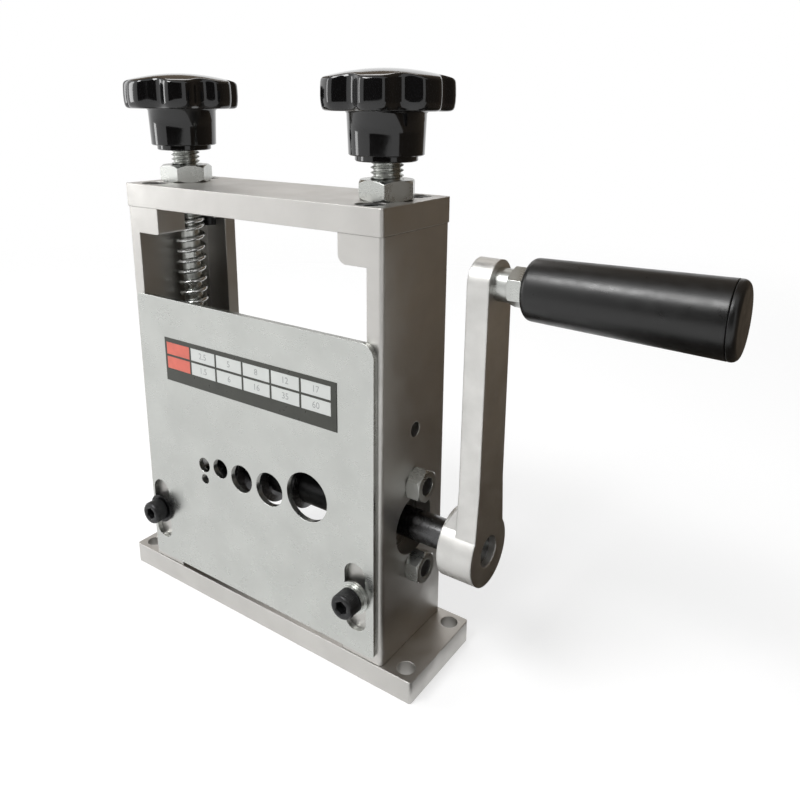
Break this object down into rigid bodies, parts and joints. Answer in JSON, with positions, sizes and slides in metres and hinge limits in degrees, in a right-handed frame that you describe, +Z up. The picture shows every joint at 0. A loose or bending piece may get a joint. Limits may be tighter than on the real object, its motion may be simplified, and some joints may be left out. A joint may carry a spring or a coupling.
{
  "type": "hand crank wire stripper",
  "caption": "Bench wire stripper with a guide plate of graded holes, ground discs turned by a side crank and a spring-loaded roller set by star knobs.",
  "frame": {"origin": "centre of the base plate's underside", "axes": "+Z up, +X to the crank's side, +Y to the back, away from the guide plate"},
  "size_m": [0.2138, 0.0474, 0.194],
  "materials": {
    "blasted_aluminium": "blasted, matt",
    "cast_aluminium": "cast, matt",
    "zinc_steel": "zinc plated, satin",
    "bright_steel": "turned",
    "hard_steel": "ground",
    "black_steel": "black oxide",
    "bronze": "sintered",
    "black_gloss_plastic": "moulded, glossy",
    "black_matte_plastic": "moulded, satin",
    "label_film": "printed film"
  },
  "bodies": {
    "frame": {"base_plate": "blasted_aluminium", "left_column": "blasted_aluminium", "right_column": "blasted_aluminium", "top_plate": "blasted_aluminium", "top_plate_screws": "black_steel", "base_screws": "black_steel", "left_bearing_housing": "bright_steel", "right_bearing_housing": "bright_steel", "left_ball_bearing": "bright_steel", "right_ball_bearing": "bright_steel", "housing_bolts": "black_steel", "housing_nuts": "zinc_steel", "guide_plate_washers": "zinc_steel", "guide_plate_screws": "black_steel", "left_lock_nut": "zinc_steel", "right_lock_nut": "zinc_steel"},
    "guide": {"guide_plate": "zinc_steel", "size_label": "label_film"},
    "crank": {"drive_shaft": "hard_steel", "disc_stack_nut": "bright_steel", "cutting_discs": "hard_steel", "spacer_sleeves": "black_steel", "crank_arm": "cast_aluminium", "crank_set_screw": "black_steel", "grip_spindle": "zinc_steel", "spindle_sleeve": "zinc_steel", "spindle_nut": "zinc_steel"},
    "grip": {"handle_grip": "black_matte_plastic", "grip_end_cap": "black_matte_plastic"},
    "carrier": {"left_slide_block": "bright_steel", "right_slide_block": "bright_steel", "left_journal_bush": "bronze", "right_journal_bush": "bronze", "left_spring": "zinc_steel", "right_spring": "zinc_steel"},
    "roller": {"pressure_roller": "hard_steel"},
    "left_knob": {"left_star_knob": "black_gloss_plastic", "left_adjusting_rod": "zinc_steel", "left_rod_clip": "bright_steel"},
    "right_knob": {"right_star_knob": "black_gloss_plastic", "right_adjusting_rod": "zinc_steel", "right_rod_clip": "bright_steel"}
  },
  "joints": [
    {"name": "crank_turn", "type": "hinge", "parent": "frame", "child": "crank", "pos_m": [0, 0, 0.0515], "axis": [1, 0, 0], "continuous": true},
    {"name": "grip_spin", "type": "hinge", "parent": "crank", "child": "grip", "pos_m": [0.12, 0, 0.1358], "axis": [1, 0, 0], "continuous": true},
    {"name": "carrier_slide", "type": "slide", "parent": "frame", "child": "carrier", "axis": [0, 0, 1], "range_m": [-0.003, 0.0045]},
    {"name": "left_knob_turn", "type": "hinge", "parent": "carrier", "child": "left_knob", "pos_m": [-0.0447, 0, 0.17], "axis": [0, 0, 1], "range_deg": [-720, 1080]},
    {"name": "right_knob_turn", "type": "hinge", "parent": "carrier", "child": "right_knob", "pos_m": [0.0447, 0, 0.17], "axis": [0, 0, 1], "range_deg": [-720, 1080]},
    {"name": "roller_spin", "type": "hinge", "parent": "carrier", "child": "roller", "pos_m": [0, 0, 0.0848], "axis": [1, 0, 0], "continuous": true},
    {"name": "guide_slide", "type": "slide", "parent": "frame", "child": "guide", "axis": [0, 0, 1], "range_m": [-0.0032, 0.0095]}
  ],
  "couplings": [
    {"joint": "left_knob_turn", "follows": "carrier_slide", "rad_per_m": 4188.8},
    {"joint": "right_knob_turn", "follows": "carrier_slide", "rad_per_m": 4188.8}
  ]
}
